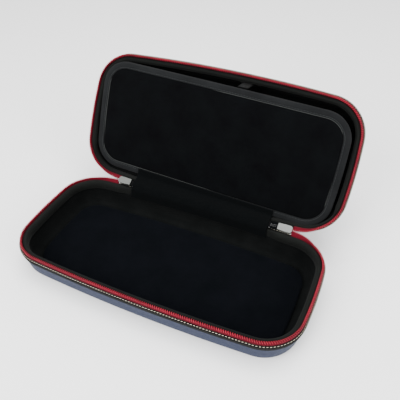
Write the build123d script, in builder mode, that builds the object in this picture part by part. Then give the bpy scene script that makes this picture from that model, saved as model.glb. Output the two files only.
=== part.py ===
from build123d import *
from math import atan2, cos, degrees, pi, radians, sin, sqrt, tan
import os

os.makedirs("parts", exist_ok=True)

# Oblong hard zip case, standing open: a moulded tray, a lid of the same outline, a zip
# with two sliders round three sides, a fabric hinge and a lid divider.
# Millimetres. X runs along the length, +Y to the hinge, +Z up. The origin is the
# centre of the base's underside.

# Rim outline, on the middle of the zip's tape
rim_length = 285.0
rim_width = 135.2
corner_radius = 35.8
long_bow = 5.6
short_bow = 4.3

# The two moulded halves
base_depth = 34.0
lid_depth = 34.0
shell_wall = 3.0
floor_inset = 4.0
edge_radius = 12.0
rim_drop = 5.3

# Linings and the loose pad on the base's floor
lining = 1.2
pad_thickness = 3.0
pad_clearance = 0.4
seat_gap = 0.1

# Bound edge that wraps each shell's rim
binding = 0.8
outer_leg = 3.0
inner_leg = 6.5

# Zip
tape_thickness = 1.2
tape_edge = 1.4
tooth_pitch = 2.0
tooth_reach = 0.6
tooth_root = 1.2
tooth_thickness = 2.4
tape_end_gap = 1.0

# Opening and hinge
open_angle = 121.0
hinge_offset = 0.6
hinge_to_corner = 29.2
web_thickness = 1.0
strip_thickness = 0.8
strip_drop = 20.0
strip_overlap = 5.0
fabric_gap = 0.3

# Divider flap in the lid: how much shorter and narrower it is than the rim, and its form
divider_end_room = 19.0
divider_side_room = 19.2
divider_length = rim_length - divider_end_room
divider_width = rim_width - divider_side_room
divider_radius = 27.0
divider_long_bow = 0.5
divider_short_bow = 2.3
divider_thickness = 5.0
divider_lean = 9.0
divider_back = 7.7
divider_sink = 8.0
divider_recess = 0.8
divider_hem = 7.0
cover_thickness = 0.7
tab_x = 22.0
tab_width = 10.0
tab_thickness = 1.0
tab_grip = 5.0
patch_width = 22.0
patch_height = 10.0
patch_thickness = 1.2
patch_depth = 12.5

# Sliders, pulls and the closed chain that they rest on
left_travel = 1.0
right_travel = 7.5
slider_length = 14.5
slider_tail_width = 6.4
slider_width = 7.2
slider_nose_radius = 2.6
slider_plate = 0.9
slider_clearance = 0.2
flange = 0.7
post_length = 3.2
post_width = 1.6
post_setback = 1.2
stop_length = 1.4
stop_overhang = 0.3
stub_tape = 2.4
slider_stop_gap = 0.3
arch_length = 9.0
arch_width = 1.6
arch_height = 2.3
arch_bar = 0.9
pull_length = 24.0
pull_width = 4.6
pull_thickness = 1.1
pull_tip_width = 4.0
pull_slot = 4.9
pull_side_gap = 0.3

# The hinge lies between the back corners. Each closed end of the zip starts beside it,
# and its slider stands its travel away from the stop.
hinge_half_length = rim_length / 2 - corner_radius - hinge_to_corner
stop_end = hinge_half_length + fabric_gap + stop_length
left_tail = stop_end + slider_stop_gap + left_travel
right_tail = stop_end + slider_stop_gap + right_travel

# Levels shared by the halves
parting_z = base_depth
hinge_y = rim_width / 2 + hinge_offset
turn = radians(open_angle)
half_turn = turn / 2
binding_top = rim_drop - seat_gap - binding
hinge_point = Vector(0, hinge_y, parting_z)

# Directions carried round with the open lid: away from its mouth, and from the hinge
# to the lid's far side
lid_out = Vector(0, sin(turn), cos(turn))
lid_along = Vector(0, -cos(turn), sin(turn))
# The closed end of the zip turns half as far as the lid
zip_inner = Vector(0, -cos(half_turn), sin(half_turn))


def base_level(depth):
    """Plane of the base at one depth below the parting plane."""
    return Plane((0, 0, parting_z - depth))


def lid_level(depth):
    """Plane of the open lid at one depth from its mouth."""
    centre = hinge_point + lid_along * hinge_y + lid_out * depth
    return Plane(centre, x_dir=(1, 0, 0), z_dir=lid_out)


def bowed_outline(length, width, radius, end_bow, side_bow):
    """Face inside four bowed sides that meet in rounded corners."""
    half_x = length / 2 - end_bow
    half_y = width / 2 - side_bow
    with BuildSketch() as face:
        with BuildLine():
            ThreePointArc((-half_x, -half_y), (0, -width / 2), (half_x, -half_y))
            ThreePointArc((half_x, -half_y), (length / 2, 0), (half_x, half_y))
            ThreePointArc((half_x, half_y), (0, width / 2), (-half_x, half_y))
            ThreePointArc((-half_x, half_y), (-length / 2, 0), (-half_x, -half_y))
        make_face()
        fillet(face.vertices(), radius)
    return face.sketch


def rim_outline(grow):
    """Face inside the rim's outline, grown by the given amount."""
    return bowed_outline(
        rim_length + 2 * grow,
        rim_width + 2 * grow,
        corner_radius + grow,
        short_bow,
        long_bow,
    )


def wall_growth(half_depth, depth, inset):
    """How far a shell's outer line, moved inwards by inset, lies outside the rim."""
    share = (depth - rim_drop) / (half_depth - rim_drop)
    return (1 - share) * shell_wall / 2 - share * floor_inset - inset


def wall_draft(half_depth):
    """Lean of a shell's wall, from the rim in to the floor."""
    return atan2(shell_wall / 2 + floor_inset, half_depth - rim_drop)


def away_axis(level):
    """Axis that points away from a half's mouth."""
    return Axis(level(0).origin, level(1).origin - level(0).origin)


def wall_form(level, half_depth, inset, top, bottom):
    """Tapered form between two depths, inside a shell's outer line by inset."""
    away = away_axis(level).direction
    with BuildPart() as form:
        with BuildSketch(level(top)):
            add(rim_outline(wall_growth(half_depth, top, inset)))
        extrude(amount=bottom - top, dir=away)
        draft(
            form.faces().filter_by(GeomType.CYLINDER),
            Plane(level(top).origin, z_dir=away),
            degrees(wall_draft(half_depth)),
        )
    return form.part


def rounded_form(level, half_depth, top):
    """Outer form of a shell. Its foot turns from the wall to the flat floor in three
    bands that lie against an arc of the edge radius."""
    turn_angle = pi / 2 - wall_draft(half_depth)
    first = edge_radius * (tan(turn_angle / 2) - tan(turn_angle / 4))
    second = edge_radius * (tan(turn_angle / 4) - tan(turn_angle / 8))
    with BuildPart() as form:
        add(wall_form(level, half_depth, 0, top, half_depth))
        chamfer(form.edges().group_by(away_axis(level))[-1], first)
        loops = form.edges().group_by(away_axis(level))
        chamfer(loops[-3] + loops[-1], second)
    return form.part


def bevelled_form(level, half_depth, inset, top):
    """Form inside a shell's outer line by inset. Its foot is bevelled between the ends
    of the rounding that it follows."""
    setback = (edge_radius - inset) * tan((pi / 2 - wall_draft(half_depth)) / 2)
    with BuildPart() as form:
        add(wall_form(level, half_depth, inset, top, half_depth - inset))
        chamfer(form.edges().group_by(away_axis(level))[-1], setback)
    return form.part


def behind_front(x):
    """How far the rim's long side falls back from its middle at a place along it."""
    half_x = rim_length / 2 - short_bow
    bow_radius = (half_x**2 + long_bow**2) / (2 * long_bow)
    return bow_radius - sqrt(bow_radius**2 - x**2)


# Moulded shells
lining_inset = shell_wall + seat_gap
inside_inset = lining_inset + lining

with BuildPart() as base_shell:
    add(rounded_form(base_level, base_depth, rim_drop))
    add(
        bevelled_form(base_level, base_depth, shell_wall, rim_drop),
        mode=Mode.SUBTRACT,
    )
base_shell.part.label = "base_shell"
export_step(base_shell.part, "parts/base_shell.step")

with BuildPart() as lid_shell:
    add(rounded_form(lid_level, lid_depth, rim_drop))
    add(
        bevelled_form(lid_level, lid_depth, shell_wall, rim_drop),
        mode=Mode.SUBTRACT,
    )
lid_shell.part.label = "lid_shell"
export_step(lid_shell.part, "parts/lid_shell.step")

# Linings start below the bound edge's inner leg
lining_top = rim_drop + inner_leg + seat_gap

with BuildPart() as base_lining:
    add(bevelled_form(base_level, base_depth, lining_inset, lining_top))
    add(
        bevelled_form(base_level, base_depth, inside_inset, lining_top),
        mode=Mode.SUBTRACT,
    )
base_lining.part.label = "base_lining"
export_step(base_lining.part, "parts/base_lining.step")

with BuildPart() as lid_lining:
    add(bevelled_form(lid_level, lid_depth, lining_inset, lining_top))
    add(
        bevelled_form(lid_level, lid_depth, inside_inset, lining_top),
        mode=Mode.SUBTRACT,
    )
lid_lining.part.label = "lid_lining"
export_step(lid_lining.part, "parts/lid_lining.step")

# Pad on the base's floor, inside the rounded foot of the lining
pad_bottom = base_depth - inside_inset - seat_gap
pad_inset = edge_radius + pad_clearance
with BuildPart() as base_floor_pad:
    with BuildSketch(base_level(pad_bottom)):
        add(rim_outline(wall_growth(base_depth, pad_bottom, pad_inset)))
    extrude(amount=pad_thickness)
base_floor_pad.part.label = "base_floor_pad"
export_step(base_floor_pad.part, "parts/base_floor_pad.step")


# Bound edges: a folded channel over each shell's rim
def channel(level, half_depth):
    """Folded edge binding: outer leg, top over the rim and inner leg."""
    outer_foot = rim_drop + outer_leg
    inner_foot = rim_drop + inner_leg
    core_top = rim_drop - seat_gap
    outside = -seat_gap - binding
    with BuildPart() as fold:
        add(wall_form(level, half_depth, outside, binding_top, outer_foot))
        add(
            wall_form(level, half_depth, -seat_gap, core_top, outer_foot),
            mode=Mode.SUBTRACT,
        )
        add(wall_form(level, half_depth, lining_inset, binding_top, inner_foot))
        add(
            wall_form(level, half_depth, lining_inset + binding, binding_top, inner_foot),
            mode=Mode.SUBTRACT,
        )
    return fold.part


with BuildPart() as base_binding:
    add(channel(base_level, base_depth))
base_binding.part.label = "base_binding"
export_step(base_binding.part, "parts/base_binding.step")

with BuildPart() as lid_binding:
    add(channel(lid_level, lid_depth))
lid_binding.part.label = "lid_binding"
export_step(lid_binding.part, "parts/lid_binding.step")

# Zip tapes stand on the bound edges and stop short of the sliders at the back
left_nose = left_tail + slider_length
right_nose = right_tail + slider_length
left_end = left_nose + tape_end_gap
right_end = right_nose + tape_end_gap
tape_height = binding_top - tape_edge


def tape(level, towards_mouth):
    """Upright band on the rim's outline, open across the hinge."""
    with BuildPart() as band:
        with BuildSketch(level(binding_top)):
            add(rim_outline(tape_thickness / 2))
            add(rim_outline(-tape_thickness / 2), mode=Mode.SUBTRACT)
            with Locations(((right_end - left_end) / 2, rim_width / 2)):
                Rectangle(left_end + right_end, rim_width, mode=Mode.SUBTRACT)
        extrude(amount=tape_height * towards_mouth)
    return band.part


with BuildPart() as base_zipper_tape:
    add(tape(base_level, 1))
base_zipper_tape.part.label = "base_zipper_tape"
export_step(base_zipper_tape.part, "parts/base_zipper_tape.step")

with BuildPart() as lid_zipper_tape:
    add(tape(lid_level, -1))
lid_zipper_tape.part.label = "lid_zipper_tape"
export_step(lid_zipper_tape.part, "parts/lid_zipper_tape.step")

# Zip teeth: wedges on each tape's free edge, the lid's half a pitch further on, so
# that the two rows mesh when the lid comes down
tooth_height = tape_edge + tooth_reach
rim_line = rim_outline(0).wire()


def rim_share(x):
    """Share of the rim's run at which its back side passes a place along the length."""
    line = Edge.make_line((x, 0), (x, rim_width))
    crossings = [edge.find_intersection_points(line) for edge in rim_line.edges()]
    back = max(sum(crossings, []), key=lambda point: point.Y)
    return rim_line.param_at_point(back)


def tooth_places(phase):
    """Places along the rim from one tape end round the front to the other."""
    start = rim_share(-left_end)
    run = (rim_share(right_end) - start) % 1.0
    forward = rim_line.position_at((start + run / 2) % 1.0).Y < 0
    share = run if forward else run - 1.0
    count = int(abs(share) * rim_line.length / tooth_pitch) - 1
    step = tooth_pitch / rim_line.length * (1 if forward else -1)
    places = []
    for i in range(count):
        at = (start + (i + 0.75 + phase) * step) % 1.0
        along = rim_line.tangent_at(at)
        frame = Plane(rim_line.position_at(at), x_dir=along, z_dir=(0, 0, 1))
        places.append(frame.location)
    return places


with BuildPart() as tooth:
    with BuildSketch(Plane.XZ):
        with BuildLine():
            Polyline(
                (-tooth_root / 2, 0),
                (tooth_root / 2, 0),
                (0, tooth_height),
                close=True,
            )
        make_face()
    extrude(amount=tooth_thickness / 2, both=True)

with BuildPart() as tooth_row:
    with Locations(*tooth_places(0)):
        add(tooth.part)

with BuildPart() as shifted_row:
    with Locations(*tooth_places(0.5)):
        add(tooth.part)

with BuildPart() as base_zipper_teeth:
    with Locations(base_level(tape_edge).location):
        add(tooth_row.part)
base_zipper_teeth.part.label = "base_zipper_teeth"
export_step(base_zipper_teeth.part, "parts/base_zipper_teeth.step")

# The lid's row points the other way, out of the lid's mouth
lid_edge = Plane(lid_level(tape_edge).origin, x_dir=(1, 0, 0), z_dir=-lid_out)
with BuildPart() as lid_zipper_teeth:
    with Locations(lid_edge.location):
        add(mirror(shifted_row.part, about=Plane.XZ, mode=Mode.PRIVATE))
lid_zipper_teeth.part.label = "lid_zipper_teeth"
export_step(lid_zipper_teeth.part, "parts/lid_zipper_teeth.step")


# Fabric hinge: a web between the two rims and a strip that covers it inside
def lid_spot(along, deep):
    """Height and distance back of a spot in the open lid."""
    spot = hinge_point + lid_along * along + lid_out * deep
    return (spot.Y, spot.Z)


def ridge_spot(out):
    """Spot on the line that halves the opening, at a distance inside the hinge."""
    spot = hinge_point + zip_inner * out
    return (spot.Y, spot.Z)


def fabric_band(points, thickness, low_x, high_x):
    """Band along the hinge, as thick to the left of its profile as stated."""
    with BuildPart() as band:
        with BuildSketch(Plane.YZ.offset(low_x)):
            with BuildLine():
                profile = Polyline(*points)
                offset(
                    profile,
                    amount=thickness,
                    side=Side.LEFT,
                    kind=Kind.INTERSECTION,
                )
            make_face()
        extrude(amount=high_x - low_x)
    return band.part


web_foot = behind_front(hinge_half_length) / 2 + hinge_offset + web_thickness / 2
web_reach = binding_top - seat_gap
web_profile = (
    (hinge_y - web_foot + web_thickness, parting_z - web_reach),
    ridge_spot(-web_thickness / 2),
    lid_spot(web_foot - web_thickness, web_reach),
)
with BuildPart() as hinge_web:
    add(
        fabric_band(web_profile, web_thickness, -hinge_half_length, hinge_half_length)
    )
hinge_web.part.label = "hinge_web"
export_step(hinge_web.part, "parts/hinge_web.step")

strip_fall = behind_front(hinge_half_length) + fabric_gap
strip_foot_y = rim_width / 2 + wall_growth(base_depth, strip_drop, inside_inset)
strip_rim_y = rim_width / 2 + wall_growth(base_depth, rim_drop, lining_inset + binding)
strip_lift = web_thickness + fabric_gap

# The divider leans out of the lid about its lower edge
lean = radians(divider_lean)
divider_up = lid_along * cos(lean) - lid_out * sin(lean)
divider_front = lid_along * -sin(lean) - lid_out * cos(lean)
divider_foot = hinge_point + lid_along * divider_back + lid_out * divider_sink


def divider_level(behind):
    """Plane of the divider at a distance behind its front face."""
    centre = divider_foot - divider_front * behind
    return Plane(centre, x_dir=(1, 0, 0), z_dir=divider_front)


def divider_spot(up, behind):
    """Height and distance back of a spot on the divider."""
    spot = divider_foot + divider_up * up - divider_front * behind
    return (spot.Y, spot.Z)


strip_profile = (
    (strip_foot_y - strip_fall, parting_z - strip_drop),
    (strip_rim_y - strip_fall, parting_z - binding_top + fabric_gap),
    ridge_spot(strip_lift),
    divider_spot(-fabric_gap, -fabric_gap),
    divider_spot(strip_overlap, -fabric_gap),
)
with BuildPart() as hinge_strip:
    add(
        fabric_band(
            strip_profile, strip_thickness, -hinge_half_length, hinge_half_length
        )
    )
hinge_strip.part.label = "hinge_strip"
export_step(hinge_strip.part, "parts/hinge_strip.step")


# Divider: a board inside a padded hem, with a cloth face
def divider_outline(inset):
    """Face inside the divider's outline, moved inwards by inset."""
    return bowed_outline(
        divider_length - 2 * inset,
        divider_width - 2 * inset,
        divider_radius - inset,
        divider_short_bow,
        divider_long_bow,
    )


divider_middle = (0, divider_width / 2)
board_thickness = divider_thickness - divider_recess - seat_gap

with BuildPart() as divider_board:
    with BuildSketch(divider_level(divider_recess + seat_gap)):
        with Locations(divider_middle):
            add(divider_outline(divider_hem + seat_gap))
    extrude(amount=-board_thickness)
divider_board.part.label = "divider_board"
export_step(divider_board.part, "parts/divider_board.step")

with BuildPart() as divider_cover:
    with BuildSketch(divider_level(divider_recess)):
        with Locations(divider_middle):
            add(divider_outline(divider_hem + seat_gap))
    extrude(amount=cover_thickness)
divider_cover.part.label = "divider_cover"
export_step(divider_cover.part, "parts/divider_cover.step")

with BuildPart() as divider_hem_band:
    with BuildSketch(divider_level(0)):
        with Locations(divider_middle):
            add(divider_outline(0))
            add(divider_outline(divider_hem), mode=Mode.SUBTRACT)
    extrude(amount=-divider_thickness)
divider_hem_band.part.label = "divider_hem_band"
export_step(divider_hem_band.part, "parts/divider_hem_band.step")


# Closing tab at the divider's upper edge, and the patch in the lid that it grips
def lid_wall_spot(deep, off):
    """Spot off the lid's far wall, inside its lining."""
    growth = wall_growth(lid_depth, deep, inside_inset)
    return lid_spot(hinge_y + rim_width / 2 + growth - off, deep)


patch_lift = seat_gap + behind_front(abs(tab_x) + patch_width / 2)
patch_profile = (
    lid_wall_spot(patch_depth + patch_height, patch_lift),
    lid_wall_spot(patch_depth, patch_lift),
)
with BuildPart() as lid_patch:
    add(
        fabric_band(
            patch_profile,
            patch_thickness,
            tab_x - patch_width / 2,
            tab_x + patch_width / 2,
        )
    )
lid_patch.part.label = "lid_patch"
export_step(lid_patch.part, "parts/lid_patch.step")

tab_lift = patch_lift + patch_thickness + fabric_gap
tab_profile = (
    lid_wall_spot(patch_depth + tab_grip, tab_lift),
    lid_wall_spot(patch_depth, tab_lift),
    divider_spot(divider_width + seat_gap + tab_thickness, divider_thickness / 2),
)
with BuildPart() as divider_tab:
    add(
        fabric_band(
            tab_profile,
            tab_thickness,
            tab_x - tab_width / 2,
            tab_x + tab_width / 2,
        )
    )
divider_tab.part.label = "divider_tab"
export_step(divider_tab.part, "parts/divider_tab.step")


# Closed ends of the zip, under the sliders
def zip_place(x, side):
    """Plane of the closed chain at a place along the hinge, its X pointing outwards."""
    return Plane((x, hinge_y, parting_z), x_dir=(side, 0, 0), z_dir=zip_inner)


def chain_run(tail):
    """Start and end of the closed chain: from its stop to where the slider's post is
    when the slider has moved in to the stop."""
    travel = tail - stop_end - slider_stop_gap
    post = slider_length - post_setback - post_length
    return stop_end, tail + post - travel - slider_clearance


def chain_teeth(side, tail):
    """Meshed rows of teeth of a closed end."""
    start, finish = chain_run(tail)
    with BuildPart() as rows:
        count = int((finish - start - tooth_root) / tooth_pitch)
        for i in range(count + 1):
            for row in (-1, 1):
                x = start + tooth_root / 2 + i * tooth_pitch
                x = x + tooth_pitch / 4 * (1 + row)
                if x + tooth_root / 2 > finish:
                    continue
                with BuildSketch(zip_place(side * x, side)):
                    with BuildLine():
                        Polyline(
                            (-tooth_root / 2, row * tape_edge),
                            (tooth_root / 2, row * tape_edge),
                            (0, -row * tooth_reach),
                            close=True,
                        )
                    make_face()
                extrude(amount=tooth_thickness / 2, both=True)
    return rows.part


def chain_tapes(side, tail):
    """The two tape edges of a closed end."""
    start, finish = chain_run(tail)
    with BuildPart() as edges:
        with BuildSketch(zip_place(side * start, side)):
            for row in (-1, 1):
                with Locations(((finish - start) / 2, row * (tape_edge + stub_tape / 2))):
                    Rectangle(finish - start, stub_tape)
        extrude(amount=tape_thickness / 2, both=True)
    return edges.part


def chain_stop(side):
    """Block that closes the end of the chain."""
    start = hinge_half_length + fabric_gap
    with BuildPart() as block:
        with BuildSketch(zip_place(side * start, side)):
            with Locations((stop_length / 2, 0)):
                Rectangle(stop_length, 2 * (tape_edge + stub_tape / 2))
        extrude(amount=tooth_thickness / 2 + stop_overhang, both=True)
        chamfer(block.edges().filter_by(Axis.X), stop_overhang)
    return block.part


def slider_body(side, tail):
    """Two plates joined by a post, with turned-in edges and an arch for the pull."""
    place = zip_place(side * tail, side)
    chamber = tooth_thickness / 2 + slider_clearance
    slot = tape_thickness / 2 + slider_clearance
    outside = chamber + slider_plate
    shoulder = slider_length / 2
    with BuildPart() as body:
        with BuildSketch(place.offset(-outside)) as plate:
            with BuildLine():
                Polyline(
                    (0, -slider_tail_width / 2),
                    (shoulder, -slider_width / 2),
                    (slider_length, -slider_width / 2),
                    (slider_length, slider_width / 2),
                    (shoulder, slider_width / 2),
                    (0, slider_tail_width / 2),
                    close=True,
                )
            make_face()
            fillet(plate.vertices().group_by(Axis.X)[-1], slider_nose_radius)
        extrude(amount=2 * outside)
        with BuildSketch(place.offset(-chamber)):
            with Locations((slider_length / 2, 0)):
                Rectangle(slider_length, slider_tail_width - 2 * flange)
        extrude(amount=2 * chamber, mode=Mode.SUBTRACT)
        with BuildSketch(place.offset(-slot)):
            with Locations((slider_length / 2, 0)):
                Rectangle(slider_length, slider_width)
        extrude(amount=2 * slot, mode=Mode.SUBTRACT)
        with BuildSketch(place.offset(-chamber)):
            with BuildLine():
                post_front = slider_length - post_setback
                Polyline(
                    (post_front - post_length, 0),
                    (post_front - post_width / 2, post_width / 2),
                    (post_front, 0),
                    (post_front - post_width / 2, -post_width / 2),
                    close=True,
                )
            make_face()
        extrude(amount=2 * chamber)
        arch_plane = Plane(place.origin, x_dir=place.x_dir, z_dir=-place.y_dir)
        with BuildSketch(arch_plane.offset(-arch_width / 2)) as arch:
            with Locations((slider_length / 2, -outside - arch_height / 2)):
                Rectangle(arch_length, arch_height)
            fillet(arch.vertices().group_by(Axis.Y)[0], arch_bar)
            with Locations((slider_length / 2, -outside - (arch_height - arch_bar) / 2)):
                Rectangle(
                    arch_length - 2 * arch_bar,
                    arch_height - arch_bar,
                    mode=Mode.SUBTRACT,
                )
        extrude(amount=arch_width)
    return body.part


def slider_pull(side, tail):
    """Flat pull whose round bar lies under the slider's arch."""
    place = zip_place(side * (tail + slider_length / 2), side)
    outside = tooth_thickness / 2 + slider_clearance + slider_plate
    bar_drop = outside + (arch_height - arch_bar) / 2
    centre = place.origin - place.z_dir * bar_drop
    flat = Plane(centre, x_dir=place.y_dir, z_dir=place.x_dir)
    with BuildPart() as pull:
        with BuildSketch(flat.offset(-pull_thickness / 2)) as outline:
            with BuildLine():
                Polyline(
                    (-pull_width / 2, 0),
                    (pull_width / 2, 0),
                    (pull_tip_width / 2, -pull_length),
                    (-pull_tip_width / 2, -pull_length),
                    close=True,
                )
            make_face()
            fillet(outline.vertices().group_by(Axis.Y)[0], pull_tip_width / 3)
            with Locations((0, -pull_slot / 2)):
                Rectangle(arch_width + 2 * pull_side_gap, pull_slot, mode=Mode.SUBTRACT)
        extrude(amount=pull_thickness)
        bar_plane = Plane(centre, x_dir=place.x_dir, z_dir=place.y_dir)
        with BuildSketch(bar_plane.offset(-pull_width / 2)):
            Circle(pull_thickness / 2)
        extrude(amount=pull_width)
    return pull.part


with BuildPart() as chain_teeth_left:
    add(chain_teeth(-1, left_tail))
chain_teeth_left.part.label = "chain_teeth_left"
export_step(chain_teeth_left.part, "parts/chain_teeth_left.step")

with BuildPart() as chain_teeth_right:
    add(chain_teeth(1, right_tail))
chain_teeth_right.part.label = "chain_teeth_right"
export_step(chain_teeth_right.part, "parts/chain_teeth_right.step")

with BuildPart() as chain_tapes_left:
    add(chain_tapes(-1, left_tail))
chain_tapes_left.part.label = "chain_tapes_left"
export_step(chain_tapes_left.part, "parts/chain_tapes_left.step")

with BuildPart() as chain_tapes_right:
    add(chain_tapes(1, right_tail))
chain_tapes_right.part.label = "chain_tapes_right"
export_step(chain_tapes_right.part, "parts/chain_tapes_right.step")

with BuildPart() as chain_stop_left:
    add(chain_stop(-1))
chain_stop_left.part.label = "chain_stop_left"
export_step(chain_stop_left.part, "parts/chain_stop_left.step")

with BuildPart() as chain_stop_right:
    add(chain_stop(1))
chain_stop_right.part.label = "chain_stop_right"
export_step(chain_stop_right.part, "parts/chain_stop_right.step")

with BuildPart() as slider_left:
    add(slider_body(-1, left_tail))
slider_left.part.label = "slider_left"
export_step(slider_left.part, "parts/slider_left.step")

with BuildPart() as slider_right:
    add(slider_body(1, right_tail))
slider_right.part.label = "slider_right"
export_step(slider_right.part, "parts/slider_right.step")

with BuildPart() as pull_left:
    add(slider_pull(-1, left_tail))
pull_left.part.label = "pull_left"
export_step(pull_left.part, "parts/pull_left.step")

with BuildPart() as pull_right:
    add(slider_pull(1, right_tail))
pull_right.part.label = "pull_right"
export_step(pull_right.part, "parts/pull_right.step")
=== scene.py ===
from math import atan2, cos, pi, radians, sin, sqrt, tan

import bmesh
import bpy
import numpy as np
from mathutils import Matrix, Vector


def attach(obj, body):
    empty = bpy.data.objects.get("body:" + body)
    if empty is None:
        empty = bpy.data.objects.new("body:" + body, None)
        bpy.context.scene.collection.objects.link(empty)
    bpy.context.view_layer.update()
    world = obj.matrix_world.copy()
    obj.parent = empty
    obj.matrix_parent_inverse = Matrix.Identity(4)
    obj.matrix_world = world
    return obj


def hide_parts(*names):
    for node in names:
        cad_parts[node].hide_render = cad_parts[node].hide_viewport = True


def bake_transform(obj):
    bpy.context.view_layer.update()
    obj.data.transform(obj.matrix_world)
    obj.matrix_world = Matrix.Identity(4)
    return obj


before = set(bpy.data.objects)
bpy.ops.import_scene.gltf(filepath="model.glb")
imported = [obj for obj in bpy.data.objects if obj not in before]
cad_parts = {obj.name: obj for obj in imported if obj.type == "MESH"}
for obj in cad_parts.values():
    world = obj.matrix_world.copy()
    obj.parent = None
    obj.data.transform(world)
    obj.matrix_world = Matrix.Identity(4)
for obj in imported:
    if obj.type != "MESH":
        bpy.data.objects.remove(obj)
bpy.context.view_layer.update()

# An oblong hard zip case, standing open. Shapes are worked out in millimetres: x along
# the case, y towards its hinge, and depth away from the mouth of the half that a piece
# belongs to. They become metres in the model's frame as they are put into a mesh.

# Rim outline and halves
RIM_LENGTH = 285.0
RIM_WIDTH = 135.2
CORNER = 35.8
LONG_BOW = 5.6
SHORT_BOW = 4.3
DEPTH = 34.0
SHELL_WALL = 3.0
FLOOR_INSET = 4.0
FOOT_ROUND = 12.0
RIM_DROP = 5.3
BINDING_TOP = 4.4
BINDING_IN = 3.9
ROLL_BACK = 80.0
ROLL_SIDE = 50.0
LINING_TOP = 11.9
LINING_OUT = 3.12
LINING_IN = 4.3
TRAY_SPINE = 62.0
PAD_BOTTOM = 29.6
PAD_IN = 12.4

# Opening
HINGE_Y = 68.2
TURN = radians(121.0)
HALF_TURN = TURN / 2
HINGE_HALF = 77.5
STRIP_DROP = 13.5
STRIP_LAP = 7.4
STRIP_HALF = 0.4

# Zip
TOOTH_PITCH = 2.0
TAPE_EDGE = 1.4
TAPE_HALF = 0.6
TAPE_ROOT = BINDING_TOP + 0.15
COIL_STEPS = 11
WIRE = 0.33
LEFT_NOSE = 95.0
RIGHT_NOSE = 101.5
MOUTH_DEPTH = 0.1
SWEEP_IN = 27.0
STITCH_PITCH = 2.8
CHAIN_START = 79.2
CHAIN_END = 89.6

# Divider
PANEL_LENGTH = 266.0
PANEL_WIDTH = 116.0
PANEL_CORNER = 27.0
PANEL_SHORT_BOW = 2.3
PANEL_LONG_BOW = 0.5
PANEL_SPINE = 75.0
PANEL_SHIFT = 0.4
PANEL_LEAN = radians(9.0)
PANEL_TURN = radians(1.5)
PANEL_BACK = 7.7
PANEL_SINK = 8.0
HEM = 7.0
HEM_GROOVE = 5.55
HEM_PITCH = 3.0
PATCH_START, PATCH_END = 11.0, 33.0
PATCH_LOW, PATCH_HIGH = 22.5, 12.5
TAB_START, TAB_END = 17.0, 27.0

hinge_point = np.array([0.0, HINGE_Y, DEPTH])
lid_out = np.array([0.0, sin(TURN), cos(TURN)])
lid_along = np.array([0.0, -cos(TURN), sin(TURN)])
zip_inner = np.array([0.0, -cos(HALF_TURN), sin(HALF_TURN)])
zip_across = np.array([0.0, sin(HALF_TURN), cos(HALF_TURN)])
panel_up = lid_along * cos(PANEL_LEAN) - lid_out * sin(PANEL_LEAN)
panel_front = -lid_along * sin(PANEL_LEAN) - lid_out * cos(PANEL_LEAN)
panel_foot = hinge_point + lid_along * PANEL_BACK + lid_out * PANEL_SINK


# ------------------------ places

def in_base(points):
    """World place of (x, y, depth) in the base: depth runs down from the parting plane."""
    return np.stack([points[..., 0], points[..., 1], DEPTH - points[..., 2]], -1)


def in_lid(points):
    """World place of (x, y, depth) in the open lid: the distance from the hinge line runs
    along the lid, and depth runs out of its back."""
    reach = HINGE_Y - points[..., 1]
    place = hinge_point + reach[..., None] * lid_along + points[..., 2:] * lid_out
    place[..., 0] += points[..., 0]
    return place


def on_panel(points):
    """World place of (x, height, behind) on the divider: turned by a degree and a half
    about its middle, as it hangs in its cloth, then up its face and behind it."""
    rise = points[..., 1] - PANEL_WIDTH / 2
    x = points[..., 0] * cos(PANEL_TURN) + rise * sin(PANEL_TURN) + PANEL_SHIFT
    height = PANEL_WIDTH / 2 - points[..., 0] * sin(PANEL_TURN) + rise * cos(PANEL_TURN)
    place = panel_foot + height[..., None] * panel_up - points[..., 2:] * panel_front
    place[..., 0] += x
    return place


def on_chain(side):
    """Placing of (x, across, above) on the closed end of the zip at one side."""
    def place(points):
        spot = hinge_point + points[..., 1:2] * zip_across + points[..., 2:] * zip_inner
        spot[..., 0] += side * points[..., 0]
        return spot
    return place


# ------------------------ lines

def unit(ways):
    """The directions at length 1."""
    return ways / np.linalg.norm(ways, axis=-1, keepdims=True)


def level(rows):
    """The rows with a third number of nought."""
    return np.column_stack([rows, np.zeros(len(rows))])


def distances(line):
    """Distance run at each point of a line."""
    return np.r_[0, np.cumsum(np.linalg.norm(np.diff(line, axis=0), axis=1))]


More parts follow.
